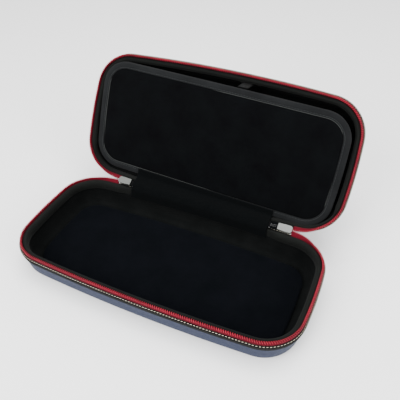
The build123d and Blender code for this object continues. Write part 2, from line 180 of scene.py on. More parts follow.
def bowed_line(length, width, radius, end_bow, side_bow, count):
    """Closed line inside four bowed sides, clockwise from the middle of the back. A side
    is an arc whose rise is its bow; a corner is an arc that touches both sides. Gives
    evenly spaced points, outward normals and the distance run."""
    half_x = length / 2 - end_bow
    half_y = width / 2 - side_bow
    long_arc = (half_x**2 + side_bow**2) / (2 * side_bow)
    short_arc = (half_y**2 + end_bow**2) / (2 * end_bow)
    long_centre = np.array([0, width / 2 - long_arc])
    short_centre = np.array([length / 2 - short_arc, 0])
    apart = short_centre - long_centre
    gap = np.hypot(*apart)
    near, far = long_arc - radius, short_arc - radius
    along = (near**2 - far**2 + gap**2) / (2 * gap)
    off = sqrt(max(near**2 - along**2, 0))
    unit = apart / gap
    across = np.array([-unit[1], unit[0]])
    both = [long_centre + along * unit + side * off * across for side in (1, -1)]
    corner = both[0] if both[0].min() > 0 else both[1]
    first = atan2(*(corner - long_centre)[::-1])
    last = atan2(*(corner - short_centre)[::-1])
    arcs = [
        (long_centre, long_arc, np.linspace(pi / 2, first, 400)),
        (corner, radius, np.linspace(first, last, 400)[1:]),
        (short_centre, short_arc, np.linspace(last, 0, 400)[1:]),
    ]
    quarter = np.vstack([
        centre + size * np.stack([np.cos(turn), np.sin(turn)], 1)
        for centre, size, turn in arcs
    ])
    half = np.vstack([quarter, (quarter * [1, -1])[::-1][1:]])
    whole = np.vstack([half, (half * [-1, 1])[::-1][1:]])
    run = distances(whole)
    place = np.linspace(0, run[-1], count + 1)[:-1]
    points = np.stack([np.interp(place, run, whole[:, i]) for i in (0, 1)], 1)
    step = np.roll(points, -1, 0) - np.roll(points, 1, 0)
    step /= np.hypot(*step.T)[:, None]
    return points, np.stack([-step[:, 1], step[:, 0]], 1), place, run[-1]


def rim_line(count):
    """The rim's line with so many points."""
    return bowed_line(RIM_LENGTH, RIM_WIDTH, CORNER, SHORT_BOW, LONG_BOW, count)


rim, rim_normal, rim_run, rim_around = rim_line(960)


def line_at(line, normal, along, around, run):
    """Points and outward normals of an evenly spaced closed line at distances run."""
    along = np.append(along, around)
    both = np.hstack([line, normal])
    both = np.vstack([both, both[:1]])
    found = np.stack([np.interp(np.mod(run, around), along, both[:, i]) for i in range(4)], 1)
    return found[:, :2], unit(found[:, 2:])


def rim_at(run):
    """Points and outward normals of the rim at distances run from the back's middle."""
    return line_at(rim, rim_normal, rim_run, rim_around, run)


def smooth_step(t):
    """3 t squared less 2 t cubed, held between 0 and 1."""
    t = np.clip(t, 0, 1)
    return t * t * (3 - 2 * t)


def back_run(x):
    """Distance round the rim to the place x on its back side."""
    back = rim[:, 1] > RIM_WIDTH / 4
    order = np.argsort(rim[back, 0])
    run = np.where(rim_run > rim_around / 2, rim_run - rim_around, rim_run)
    return float(np.interp(x, rim[back, 0][order], run[back][order]))


zip_first = back_run(RIGHT_NOSE - MOUTH_DEPTH)
zip_last = back_run(-LEFT_NOSE + MOUTH_DEPTH) + rim_around


def growth(depth, inset=0.0):
    """How far a shell's outer line, moved in by inset, lies outside the rim line."""
    share = (np.asarray(depth, float) - RIM_DROP) / (DEPTH - RIM_DROP)
    return (1 - share) * SHELL_WALL / 2 - share * FLOOR_INSET - inset


def behind_front(x):
    """How far the rim's long side falls back from its middle at x."""
    half_x = RIM_LENGTH / 2 - SHORT_BOW
    bow = (half_x**2 + LONG_BOW**2) / (2 * LONG_BOW)
    return bow - np.sqrt(bow**2 - np.asarray(x, float) ** 2)


def softened(corners, radius, steps=4, closed=True):
    """Line through corners, each rounded: a parabola leaves the side before it and meets
    the side after it, at the radius or just under half the side from the corner."""
    corners = np.asarray(corners, float)
    before, after = np.roll(corners, 1, 0), np.roll(corners, -1, 0)
    radius = np.broadcast_to(radius, len(corners))[:, None]
    back, ahead = before - corners, after - corners
    back *= np.minimum(radius / np.linalg.norm(back, axis=1, keepdims=True), 0.48)
    ahead *= np.minimum(radius / np.linalg.norm(ahead, axis=1, keepdims=True), 0.48)
    if not closed:
        back[0] = ahead[0] = back[-1] = ahead[-1] = 0
    t = np.linspace(0, 1, steps)[None, :, None]
    line = corners[:, None] + (1 - t) ** 2 * back[:, None] + t**2 * ahead[:, None]
    if not closed:
        return np.vstack([corners[:1], line[1:-1].reshape(-1, 2), corners[-1:]])
    return line.reshape(-1, 2)


# ------------------------ meshes

def placed(name, data):
    """New object in the scene."""
    made = bpy.data.objects.new(name, data)
    bpy.context.scene.collection.objects.link(made)
    return made


def finished_mesh(name, points, faces, uv, material, weld=0.0):
    """Puts points in millimetres and their faces into a mesh in metres, welds points that
    lie together, and turns every face outwards where the enclosed volume is negative."""
    mesh = bpy.data.meshes.new(name)
    mesh.from_pydata((points * 0.001).tolist(), [], faces)
    layer = mesh.uv_layers.new(name="UVMap")
    layer.data.foreach_set("uv", np.asarray(uv, np.float32).ravel())
    shape = bmesh.new()
    shape.from_mesh(mesh)
    if weld:
        bmesh.ops.remove_doubles(shape, verts=shape.verts, dist=weld)
    if shape.calc_volume(signed=True) < 0:
        bmesh.ops.reverse_faces(shape, faces=shape.faces)
    shape.to_mesh(mesh)
    shape.free()
    mesh.polygons.foreach_set("use_smooth", [True] * len(mesh.polygons))
    mesh.materials.append(material)
    return placed(name, mesh)


def grid_faces(rows, columns, closed_rows, closed_columns):
    """Four-sided faces between neighbouring points of a grid, as index rows."""
    i = np.arange(rows if closed_rows else rows - 1)
    j = np.arange(columns if closed_columns else columns - 1)
    i, j = (a.ravel() for a in np.meshgrid(i, j, indexing="ij"))
    k, m = (i + 1) % rows, (j + 1) % columns
    cells = [i * columns + j, i * columns + m, k * columns + m, k * columns + j]
    return np.stack(cells, 1), i, j


def with_next(run):
    """The distances with one step more at their end."""
    return np.append(run, 2 * run[-1] - run[-2])


def grid_piece(name, points, material, form="ring", uv_run=None, uv_side=None,
               flat_uv=None, flat_columns=None):
    """Mesh of a grid of points. A ring is closed both ways, a band has capped ends, and a
    slab is closed round its rows and welded at its spine. The UV map is in millimetres:
    the run along the rows and the distance across the columns, or flat_uv, which holds
    for all columns or for the flat ones."""
    rows, columns = points.shape[:2]
    faces, i, j = grid_faces(rows, columns, form != "band", form != "slab")
    if uv_run is None:
        uv_run = with_next(distances(points[:, columns // 2]))
    if uv_side is None:
        uv_side = with_next(distances(points[rows // 3]))
    u = np.stack([uv_run[i], uv_run[i], uv_run[i + 1], uv_run[i + 1]], 1)
    v = np.stack([uv_side[j], uv_side[j + 1], uv_side[j + 1], uv_side[j]], 1)
    uv = np.stack([u, v], -1)
    if flat_uv is not None:
        flat = slice(None) if flat_columns is None else flat_columns[j]
        uv[flat] = flat_uv.reshape(-1, 2)[faces[flat]]
    faces = faces.tolist()
    uv = uv.reshape(-1, 2)
    if form == "band":
        first = np.arange(columns)
        faces += [first[::-1].tolist(), ((rows - 1) * columns + first).tolist()]
        turn = np.linspace(0, 2 * pi, columns)
        uv = np.vstack([uv, np.tile(np.stack([np.cos(turn), np.sin(turn)], 1), (2, 1))])
    weld = 1e-6 if form == "slab" else 0.0
    return finished_mesh(name, points.reshape(-1, 3), faces, uv, material, weld)


def ring_points(line, normal, profile, reach=TRAY_SPINE):
    """Profile carried round a closed line. A profile point is (out, depth, share): the
    line moves out along its normals, then the share draws it to a spine of the given
    half length on the middle line."""
    moved = line[:, None] + profile[None, :, :1] * normal[:, None]
    spine = np.zeros_like(moved)
    spine[..., 0] = np.clip(moved[..., 0], -reach, reach)
    share = profile[None, :, 2:]
    moved = (1 - share) * moved + share * spine
    depth = np.broadcast_to(profile[None, :, 1:2], moved.shape[:2] + (1,))
    return np.concatenate([moved, depth], -1)


def tub_profile(inset, top, steps):
    """Wall from the top down to the floor inside a shell's outer line: a sloping line, an
    arc that touches wall and floor, and the floor drawn in to the spine."""
    lean = atan2(SHELL_WALL / 2 + FLOOR_INSET, DEPTH - RIM_DROP)
    size = FOOT_ROUND - inset
    setback = size * tan((pi / 2 - lean) / 2)
    centre = np.array([-FLOOR_INSET - inset - setback, DEPTH - inset - size])
    turn = np.linspace(lean, pi / 2, steps)
    arc = centre + size * np.stack([np.cos(turn), np.sin(turn)], 1)
    depth = np.linspace(top, arc[0, 1], 8)[:-1]
    wall = np.stack([growth(depth, inset), depth], 1)
    floor = np.repeat(arc[-1:], 7, 0)
    line = np.vstack([wall, arc, floor])
    share = np.r_[np.zeros(len(wall) + len(arc)), np.linspace(0, 1, 8)[1:]]
    return np.column_stack([line, share])


def tub(name, place, outer, inner, top, material, swell=0.0):
    """Moulded tray between two insets: the outer wall and floor, over the rim, and the
    inner wall and floor, each closed along the spine. The walls may swell by a slow wave
    along the run."""
    outside = tub_profile(outer, top, 11)[::-1]
    profile = np.vstack([outside, tub_profile(inner, top, 9)])
    line, normal, run, around = rim_line(480)
    points = ring_points(line, normal, profile)
    wave = np.sin(run * 0.055) + 0.6 * np.sin(run * 0.131 + 1.7)
    height = np.sin(np.clip((profile[:, 1] - top) / (DEPTH - top), 0, 1) * pi)
    height[: len(outside)] = 0
    points[..., :2] += (swell * wave[:, None] * height)[..., None] * normal[:, None]
    on_floor = profile[:, 2] > 0
    side = np.r_[0, np.cumsum(np.hypot(*np.diff(profile[:, :2], axis=0).T) + 0.001)]
    return grid_piece(
        name, place(points), material, "slab",
        uv_run=np.append(run, around), uv_side=np.append(side, side[-1]),
        flat_uv=points[..., :2], flat_columns=on_floor[:-1] | on_floor[1:],
    )


def tube_points(centre, tangent, across, wide, high, sides):
    """Tube of oval section round a line: the section's points turn from the across
    direction to the one square to it and to the tangent."""
    lift = unit(np.cross(tangent, across))
    turn = np.linspace(0, 2 * pi, sides, endpoint=False)
    wide = np.broadcast_to(wide, len(centre))[:, None, None]
    high = np.broadcast_to(high, len(centre))[:, None, None]
    return (
        centre[:, None]
        + np.cos(turn)[None, :, None] * across[:, None] * wide
        + np.sin(turn)[None, :, None] * lift[:, None] * high
    )


def tangents(line):
    """Unit steps along an open line, from each point's neighbours."""
    return unit(np.gradient(line, axis=0))


def grain(points, seed):
    """Slow unevenness from -1 to 1: five sine waves in seeded directions."""
    random = np.random.default_rng(seed)
    ways = random.normal(size=(5, 3)) * random.uniform(0.04, 0.16, (5, 1))
    shift = random.uniform(0, 2 * pi, 5)
    return np.sin(points @ ways.T + shift).mean(-1)


# ------------------------ finishes

class Nodes:
    """Short hand for the nodes of one tree."""

    def __init__(self, tree):
        self.tree = tree
        tree.nodes.clear()

    def add(self, kind, inputs=(), **settings):
        node = self.tree.nodes.new(kind)
        for key, value in settings.items():
            setattr(node, key, value)
        for key, value in dict(inputs).items():
            if isinstance(value, bpy.types.NodeSocket):
                self.tree.links.new(value, node.inputs[key])
            else:
                node.inputs[key].default_value = value
        return node

    def math(self, operation, *values):
        return self.add("ShaderNodeMath", enumerate(values), operation=operation).outputs[0]

    def vector(self, operation, *values):
        node = self.add("ShaderNodeVectorMath", enumerate(values), operation=operation)
        return node.outputs[0]

    def noise(self, place, scale, detail=2.0, roughness=0.5):
        values = {"Vector": place, "Scale": scale, "Detail": detail, "Roughness": roughness}
        return self.add("ShaderNodeTexNoise", values).outputs["Fac"]

    def ramp(self, value, low, high, start=0.0, end=1.0):
        values = {
            "Value": value, "From Min": low, "From Max": high, "To Min": start, "To Max": end,
        }
        return self.add("ShaderNodeMapRange", values).outputs[0]

    def mix(self, share, first, second):
        values = {0: share, 6: first, 7: second}
        return self.add("ShaderNodeMix", values, data_type="RGBA").outputs[2]

    def group(self, tree, values):
        return self.add("ShaderNodeGroup", values, node_tree=tree).outputs

    def dust(self, solid, amount):
        return self.group(settled_dust, {"Place": solid, "Amount": amount})[0]

    def give(self, *values):
        self.add("NodeGroupOutput", enumerate(values))
        return self.tree

    def finish(self, values):
        shader = self.add("ShaderNodeBsdfPrincipled", values)
        self.add("ShaderNodeOutputMaterial", {0: shader.outputs[0]})


def effect(name, outputs, **inputs):
    """New node group that turns Place and the named numbers into the named outputs. Gives
    its nodes, its Place and its numbers."""
    tree = bpy.data.node_groups.new(name, "ShaderNodeTree")
    add = tree.interface.new_socket
    add("Place", in_out="INPUT", socket_type="NodeSocketVector")
    for label, value in inputs.items():
        add(label, in_out="INPUT", socket_type="NodeSocketFloat").default_value = value
    for label in outputs:
        add(label, in_out="OUTPUT", socket_type="NodeSocketFloat")
    nodes = Nodes(tree)
    start = nodes.add("NodeGroupInput").outputs
    return nodes, *start[: 1 + len(inputs)]


# Plain weave: warp and weft rise in turn, so the height is the product of two sines; a
# little noise makes the threads uneven.
n, place, pitch, loose = effect("woven_threads", ["Height", "Gap"], Pitch=0.8, Uneven=0.3)
parts = n.add("ShaderNodeSeparateXYZ", {0: place}).outputs
sines = [
    n.math("SINE", n.math("DIVIDE", n.math("MULTIPLY", parts[i], pi), pitch)) for i in (0, 1)
]
cross = n.math("MULTIPLY", *sines)
ridge = n.math("ABSOLUTE", cross)
uneven = n.math("MULTIPLY", n.math("SUBTRACT", n.noise(place, 0.9, 3.0), 0.5), loose)
height = n.math("ADD", n.math("MULTIPLY_ADD", cross, 0.35, ridge), uneven)
woven_threads = n.give(height, n.ramp(ridge, 0.0, 0.45, 1.0, 0.0))

# Ribs across a band: a sine of the run, sharpened, with threads of uneven weight.
n, place, pitch, slant = effect("ribbed_band", ["Height", "Gap"], Pitch=0.9, Slant=0.0)
parts = n.add("ShaderNodeSeparateXYZ", {0: place}).outputs
slanted = n.math("MULTIPLY_ADD", parts[1], slant, parts[0])
turn = n.math("DIVIDE", n.math("MULTIPLY", slanted, pi), pitch)
rib = n.math("ABSOLUTE", n.math("SINE", turn))
height = n.math("MULTIPLY_ADD", n.noise(place, 1.3, 3.0), 0.4, rib)
ribbed_band = n.give(height, n.ramp(rib, 0.0, 0.5, 1.0, 0.0))

# Flock: short fibres as fine noise, and slow patches where the pile lies another way.
n, place, fibre, patch = effect("short_pile", ["Height", "Brushed"], Fibre=2.6, Patch=0.045)
brushed = n.noise(place, patch, 3.0, 0.6)
height = n.math("MULTIPLY_ADD", brushed, 0.6, n.noise(place, fibre, 4.0, 0.7))
short_pile = n.give(height, n.ramp(brushed, 0.35, 0.68))

# Age: fine dust specks and slow fading, as a mask.
n, place, speck, amount = effect("settled_dust", ["Mask"], Speck=1.1, Amount=0.1)
specks = n.ramp(n.noise(place, speck, 5.0, 0.75), 0.56, 0.74)
fade = n.ramp(n.noise(place, 0.03, 2.0), 0.3, 0.7, 0.4, 1.0)
settled_dust = n.give(n.math("MULTIPLY", n.math("MULTIPLY", specks, fade), amount))


def srgb(red, green, blue):
    """Linear colour of an eight-bit one."""
    value = np.array([red, green, blue]) / 255
    linear = np.where(value <= 0.04045, value / 12.92, ((value + 0.055) / 1.055) ** 2.4)
    return (*linear.tolist(), 1.0)


def new_finish(name):
    """New material: it, its nodes, its UV map and the object's places in millimetres."""
    material = bpy.data.materials.new(name)
    material.use_nodes = True
    n = Nodes(material.node_tree)
    where = n.add("ShaderNodeTexCoord").outputs
    return material, n, where["UV"], n.vector("MULTIPLY", where["Object"], (1000, 1000, 1000))


def cloth_finish(name, colour, low, dust, group, values, bump=0.35, distance=0.0003,
                 roughness=0.95, sheen=0.0, sheen_tint=(255, 255, 255), dust_amount=0.1,
                 specular=0.04, patch=None, by_object=False):
    """Finish whose pattern group shades between two colours and lifts the bump. Slow
    patches and dust come on top. Places are in millimetres, from the UV map or the
    object."""
    material, n, flat, solid = new_finish(name)
    pattern = n.group(group, {"Place": solid if by_object else flat, **values})
    shade = n.mix(pattern[1], srgb(*colour), srgb(*low))
    if patch is not None:
        slow = n.ramp(n.noise(solid, 0.035, 3.0), 0.36, 0.66)
        shade = n.mix(n.math("MULTIPLY", slow, patch[0]), shade, srgb(*patch[1]))
    shade = n.mix(n.dust(solid, dust_amount), shade, srgb(*dust))
    bumps = {"Strength": bump, "Distance": distance, "Height": pattern[0]}
    lift = n.add("ShaderNodeBump", bumps)
    uneven = n.ramp(n.noise(solid, 0.3, 3.0), 0.3, 0.7, roughness - 0.05, roughness + 0.05)
    n.finish({
        "Base Color": shade,
        "Roughness": uneven,
        "Normal": lift.outputs[0],
        "Sheen Weight": sheen,
        "Sheen Roughness": 0.45,
        "Sheen Tint": srgb(*sheen_tint),
        "Specular IOR Level": specular,
    })
    return material


shell_cloth = cloth_finish(
    "shell_cloth", (28, 36, 58), (21, 27, 46), (54, 63, 84),
    woven_threads, {"Pitch": 0.7, "Uneven": 0.5}, bump=0.3, distance=0.00012,
    roughness=0.66, sheen=0.02, dust_amount=0.06, specular=0.16, patch=(0.35, (33, 41, 63)),
)
lining_flock = cloth_finish(
    "lining_flock", (9, 10, 10), (5, 6, 6), (30, 32, 31), short_pile, {"Fibre": 2.2},
    sheen=0.02,
)
floor_flock = cloth_finish(
    "floor_flock", (5, 6, 9), (3, 4, 6), (24, 27, 32),
    short_pile, {"Fibre": 2.0, "Patch": 0.03},
    sheen=0.015, sheen_tint=(190, 205, 225), specular=0.03,
)
panel_flock = cloth_finish(
    "panel_flock", (5, 6, 7), (3, 3, 4), (24, 27, 30),
    short_pile, {"Fibre": 2.2, "Patch": 0.035}, sheen=0.012, specular=0.03,
)
edge_ribbon = cloth_finish(
    "edge_ribbon", (16, 17, 16), (9, 10, 9), (42, 44, 41),
    ribbed_band, {"Pitch": 0.9}, bump=0.6, distance=0.00025, roughness=0.9,
    sheen=0.02, dust_amount=0.12, specular=0.05, patch=(0.3, (22, 24, 22)),
)
hem_ribbon = cloth_finish(
    "hem_ribbon", (19, 20, 21), (10, 11, 11), (50, 52, 53),
    ribbed_band, {"Pitch": 1.0, "Slant": 0.15}, bump=0.6, roughness=0.9,
    sheen=0.025, dust_amount=0.14, specular=0.05, patch=(0.45, (28, 29, 30)),
)
hinge_cloth = cloth_finish(
    "hinge_cloth", (4, 5, 6), (2, 3, 3), (24, 26, 28),
    woven_threads, {"Pitch": 0.9, "Uneven": 0.6}, bump=0.5, distance=0.0002, sheen=0.01,
)
tape_twill = cloth_finish(
    "tape_twill", (84, 3, 20), (40, 1, 9), (120, 34, 50),
    ribbed_band, {"Pitch": 0.8, "Slant": 0.8}, bump=0.5, distance=0.0002,
    roughness=0.85, sheen=0.05, sheen_tint=(255, 170, 180), specular=0.12,
)
smooth = {"bump": 0.12, "distance": 0.0001, "by_object": True}
coil_nylon = cloth_finish(
    "coil_nylon", (152, 16, 42), (104, 7, 26), (168, 60, 80),
    short_pile, {"Fibre": 1.4}, roughness=0.45, specular=0.35, **smooth,
)
# Near-black finish for the zip's closed ends and their stops: painted shade, standing in for
# the shade there; the real chain is red.
end_painted_shade = cloth_finish(
    "end_painted_shade", (8, 8, 9), (5, 5, 6), (30, 30, 32),
    short_pile, {"Fibre": 1.4}, roughness=0.85, dust_amount=0.08, specular=0.06, **smooth,
)
grip_pile = cloth_finish(
    "grip_pile", (6, 7, 7), (3, 3, 3), (26, 28, 28),
    short_pile, {"Fibre": 3.4, "Patch": 0.12}, bump=0.8, distance=0.0005,
    sheen=0.03, dust_amount=0.15, specular=0.05,
)
board_grey = cloth_finish(
    "board_grey", (62, 64, 62), (48, 50, 49), (98, 100, 96),
    short_pile, {"Fibre": 1.2}, bump=0.3, distance=0.0002, roughness=0.9,
    dust_amount=0.2, specular=0.1,
)
seam_thread, dark_thread = (
    cloth_finish(
        name, *colours, ribbed_band, {"Pitch": 0.35, "Slant": 0.7}, bump=0.5,
        distance=0.0001, roughness=0.8, dust_amount=0.15, specular=0.15,
    )
    for name, *colours in (
        ("seam_thread", (214, 204, 184), (160, 148, 128), (232, 226, 212)),
        ("dark_thread", (44, 46, 47), (24, 26, 27), (80, 82, 82)),
    )
)


def cast_metal(name, colour, worn, roughness):
    """Cast alloy: colour mottled by noise, brighter where the surface bulges, a fine
    sand grain in the bump."""
    material, n, _, solid = new_finish(name)
    mottle = n.ramp(n.noise(solid, 0.55, 4.0, 0.6), 0.35, 0.65)
    edge = n.ramp(n.add("ShaderNodeNewGeometry").outputs["Pointiness"], 0.5, 0.56)
    shade = n.mix(
        n.math("MAXIMUM", n.math("MULTIPLY", mottle, 0.5), edge), srgb(*colour), srgb(*worn)
    )
    shade = n.mix(n.dust(solid, 0.25), shade, srgb(70, 70, 70))
    sand = n.noise(solid, 5.0, 3.0)
    lift = n.add("ShaderNodeBump", {"Strength": 0.15, "Distance": 0.0001, "Height": sand})
    n.finish({
        "Base Color": shade,
        "Metallic": 0.6,
        "Roughness": n.ramp(mottle, 0.0, 1.0, roughness - 0.06, roughness + 0.08),
        "Normal": lift.outputs[0],
    })
    return material


slider_alloy = cast_metal("slider_alloy", (60, 62, 60), (98, 100, 97), 0.42)


# ------------------------ camera, light, floor

camera = placed("camera", bpy.data.cameras.new("camera"))
# Its place, turn and focal length come from a fit to the photo's edges
camera.data.lens = 45.21
camera.data.sensor_width = 36.0
camera.data.sensor_fit = "HORIZONTAL"
camera.data.clip_start = 0.01
camera.data.clip_end = 50.0
right = Vector((0.90982, 0.41496, -0.00567))
up = Vector((-0.26842, 0.59883, 0.75456))
back = right.cross(up)
camera.matrix_world = Matrix.Translation((0.16683, -0.28792, 0.37968)) @ Matrix(
    (right, up, back)
).transposed().to_4x4()
bpy.context.scene.camera = camera

world = bpy.data.worlds.new("studio")
world.use_nodes = True
sky = world.node_tree.nodes["Background"].inputs
sky["Color"].default_value = (1, 1, 1, 1)
sky["Strength"].default_value = 1.35
bpy.context.scene.world = world


def soft_light(name, place, aim, size, power):
    """Square lamp whose face looks from its place to the aim."""
    lamp = bpy.data.lights.new(name, "AREA")
    lamp.size = size
    lamp.energy = power
    turned = (Vector(aim) - Vector(place)).to_track_quat("-Z", "Y").to_matrix().to_4x4()
    placed(name, lamp).matrix_world = Matrix.Translation(place) @ turned


soft_light("lamp_front", (-0.35, -0.9, 0.75), (0, 0, 0.03), 0.7, 20.0)
soft_light("lamp_top", (0.1, 0.1, 1.3), (0, 0, 0.05), 0.9, 20.0)
soft_light("lamp_right", (1.0, -0.35, 0.7), (0.05, 0, 0.04), 0.6, 11.0)

floor_shape = bmesh.new()
bmesh.ops.create_grid(floor_shape, x_segments=2, y_segments=2, size=4.0)
floor_mesh = bpy.data.meshes.new("studio_floor")
floor_shape.to_mesh(floor_mesh)
floor_shape.free()
floor = placed("studio_floor", floor_mesh)
floor.location.z = -0.0002
floor_paint = bpy.data.materials.new("floor_paint")
floor_paint.use_nodes = True
floor_shader = floor_paint.node_tree.nodes["Principled BSDF"].inputs
floor_shader["Base Color"].default_value = (0.93, 0.93, 0.93, 1)
floor_shader["Roughness"].default_value = 0.9
floor_mesh.materials.append(floor_paint)


# ------------------------ halves

def dressed(piece, body, slot, *nodes):
    """Puts a piece on its body, in place of the nodes that it stands for."""
    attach(piece, body)
    if nodes:
        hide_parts(*nodes)
    return piece


def repainted(node, material):
    """Gives a solid that is shown as it is the finish of the scene."""
    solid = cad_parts[node]
    solid.data.materials.clear()
    solid.data.materials.append(material)


def binding_profile(roll):
    """Closed section of the folded ribbon: up the shell's outside, over its rim and down
    inside the lining, with rounded folds. The inner leg lies flat on the lining, or with
    the roll it bulges inwards over a padded edge."""
    top = BINDING_TOP
    inner = [
        (-0.9, top), (-1.3, top), (growth(top, BINDING_IN), top), (growth(8.0, 4.0), 8.0),
        (growth(11.8, BINDING_IN), 11.8),
    ]
    if roll:
        inner = [(-0.95, top), (-1.7, 1.9), (-5.3, 2.1), (-6.8, 6.5), (-5.2, 11.9)]
    foot = 9.4
    corners = [
        (growth(foot, -0.95), foot),
        (growth(6.4, -1.05), 6.4),
        (growth(top, -0.9), top),
        *inner,
        (growth(11.8, 3.15), 11.8),
        (growth(5.25, 3.1), 5.25),
        (growth(5.25, -0.1), 5.25),
        (growth(foot, -0.1), foot),
    ]
    folds = [0.3, 1.5, 1.0, 0.3, 1.2, 2.2, 3.0, 1.0, 0.3, 0.2, 0.2, 0.3]
    return softened(corners, np.array(folds), 5)


def edge_ring(name, place, material):
    """Binding: its section carried round the rim, its folds puckered a little at every
    stitch and its legs slowly uneven. The padded roll dies away along the back: in the
    base under the hinge cloth, and in the lid before it comes round to the divider."""
    profile = binding_profile(False)
    share = smooth_step((np.abs(rim[:, 0]) - ROLL_BACK) / 12)
    if place is in_lid:
        share = share * 0
    share = np.maximum(share, smooth_step((ROLL_SIDE - rim[:, 1]) / 16))[:, None, None]
    flat, rolled = (
        ring_points(rim, rim_normal, level(binding_profile(roll))) for roll in (False, True)
    )
    points = (1 - share) * flat + share * rolled
    pucker = 0.05 * np.sin(rim_run * 2 * pi / STITCH_PITCH) + 0.10 * grain(points[:, 0], 5)
    outer = (profile[:, 0] > 1.6).astype(float) - (profile[:, 0] < -1.7).astype(float)
    points[..., :2] += (pucker[:, None] * outer * 0.6)[..., None] * rim_normal[:, None]
    return grid_piece(
        name, place(points), material, uv_run=np.append(rim_run, rim_around),
        uv_side=distances(np.vstack([profile, profile[:1]])),
    )


def stitch_row(name, place, centre, along, across, material, size=(0.8, 0.2, 0.18)):
    """Row of stitches: small closed beads of six sides and five rings, long along the
    seam, placed at every centre by its three directions. The place turns points of a
    half into world ones."""
    t = np.array([-1.0, -0.72, 0.0, 0.72, 1.0])
    swell = np.array([0.35, 0.85, 1.0, 0.85, 0.35])
    turn = np.linspace(0, 2 * pi, 6, endpoint=False)
    long = np.repeat(t * size[0], 6)
    wide = (swell[:, None] * np.cos(turn)).ravel() * size[1]
    high = (swell[:, None] * np.sin(turn)).ravel() * size[2]
    up_way = np.cross(along, across)
    points = (
        centre[:, None]
        + long[None, :, None] * along[:, None]
        + wide[None, :, None] * across[:, None]
        + high[None, :, None] * up_way[:, None]
    )
    sides, _, _ = grid_faces(5, 6, False, True)
    count = len(centre)
    shift = (np.arange(count) * 30)[:, None, None]
    quads = (sides[None] + shift).reshape(-1, 4).tolist()
    ends = np.array([[5, 4, 3, 2, 1, 0], [24, 25, 26, 27, 28, 29]])
    caps = (ends[None] + shift).reshape(-1, 6).tolist()
    one = np.stack([long, np.tile(turn, 5) * 0.28], 1)
    uv = np.vstack([
        np.tile(one[sides.ravel()], (count, 1)),
        np.tile(one[ends.ravel()], (count, 1)),
    ])
    return finished_mesh(name, place(points).reshape(-1, 3), quads + caps, uv, material)


def rim_stitches(name, place):
    """Stitches along the binding's outer fold, a stitch at every pitch, each turned by
    nine degrees as a lock stitch lies."""
    run = np.arange(0, rim_around - 1, STITCH_PITCH)
    at, out = rim_at(run)
    centre = np.column_stack([at + 1.75 * out, np.full(len(run), BINDING_TOP - 0.02)])
    step = level(out[:, ::-1] * [1, -1])
    side = np.column_stack([out * 0.95, np.full(len(run), 0.31)])
    lay = 0.16
    along = step * cos(lay) + side * sin(lay)
    across = side * cos(lay) - step * sin(lay)
    return stitch_row(name, place, centre, along, across, seam_thread)


def zip_frame(spacing):
    """The zip's run in a half, from the right slider round the front to the left one: the
    distances, the tape's edge, its direction down to the binding, how wide it is, its
    thickness direction and its steps. Over the last stretch the edge sweeps in by a
    smooth step, from over the rim line to the slider's mouth, which in a half lies 1.4 mm
    off the hinge line at half the opening's slant."""
    run = np.linspace(zip_first, zip_last, int((zip_last - zip_first) / spacing))
    at, out = rim_at(run)
    ends = np.minimum(run - zip_first, zip_last - run)
    sweep = smooth_step(1 - ends / SWEEP_IN)
    edge = np.column_stack([at, np.full(len(run), TAPE_EDGE)])
    edge[:, 1] += sweep * (HINGE_Y - TAPE_EDGE * sin(HALF_TURN) - at[:, 1])
    edge[:, 2] += sweep * (TAPE_EDGE * cos(HALF_TURN) - TAPE_EDGE)
    down = np.column_stack([at, np.full(len(run), TAPE_ROOT)]) - edge
    wide = np.linalg.norm(down, axis=1, keepdims=True)
    step = tangents(edge)
    flat = unit(np.cross(down / wide, step))
    flat *= np.sign((flat[:, :2] * out).sum(1))[:, None]
    return run, edge, down / wide, wide, flat, step


def tape_points():
    """Tape: a flat band from its edge down into the fold of the binding, 1.2 mm thick
    with rounded edges, and a slow ripple along the run."""
    run, edge, down, wide, flat, _ = zip_frame(1.6)
    section = softened([
        (-0.35, -TAPE_HALF), (1.05, -TAPE_HALF), (1.05, TAPE_HALF), (-0.35, TAPE_HALF),
    ], 0.35, 3)
    ripple = 0.10 * grain(edge, 11)[:, None, None]
    along = np.where(section[:, 0] > 0.5, section[:, 0] * wide, section[:, 0])
    points = (
        edge[:, None]
        + along[..., None] * down[:, None]
        + (section[None, :, 1:] + ripple * (section[None, :, :1] < 0.5)) * flat[:, None]
    )
    return points, run


def split_run(points, run, low, high):
    """Rows of a swept grid whose run lies between two distances."""
    keep = (run >= low - 1e-6) & (run <= high + 1e-6)
    return points[keep]


def wire_points(centre, square):
    """Wire along a line: a tube of five sides, whose section is squared by a direction."""
    step = tangents(centre)
    return tube_points(centre, step, unit(np.cross(step, square)), WIRE, WIRE, 5)


def coil_points(phase):
    """Wire of the coil. Its centre goes once round the tape's edge for every pitch, 1 mm
    to each side and 0.85 mm up and down."""
    run, edge, down, _, flat, _ = zip_frame(TOOTH_PITCH / COIL_STEPS)
    turn = run / TOOTH_PITCH * 2 * pi + phase
    height = -0.70 + 0.85 * np.cos(turn)
    centre = edge + height[:, None] * down + np.sin(turn)[:, None] * flat
    return wire_points(centre, down), run


def core_points():
    """Filler cord inside the coil: an oval tube along the tape's edge, low enough to
    clear the other half's coil when the case is shut."""
    run, edge, down, _, flat, step = zip_frame(2.0)
    return tube_points(edge - 0.35 * down, step, flat, 0.70, 0.45, 8), run


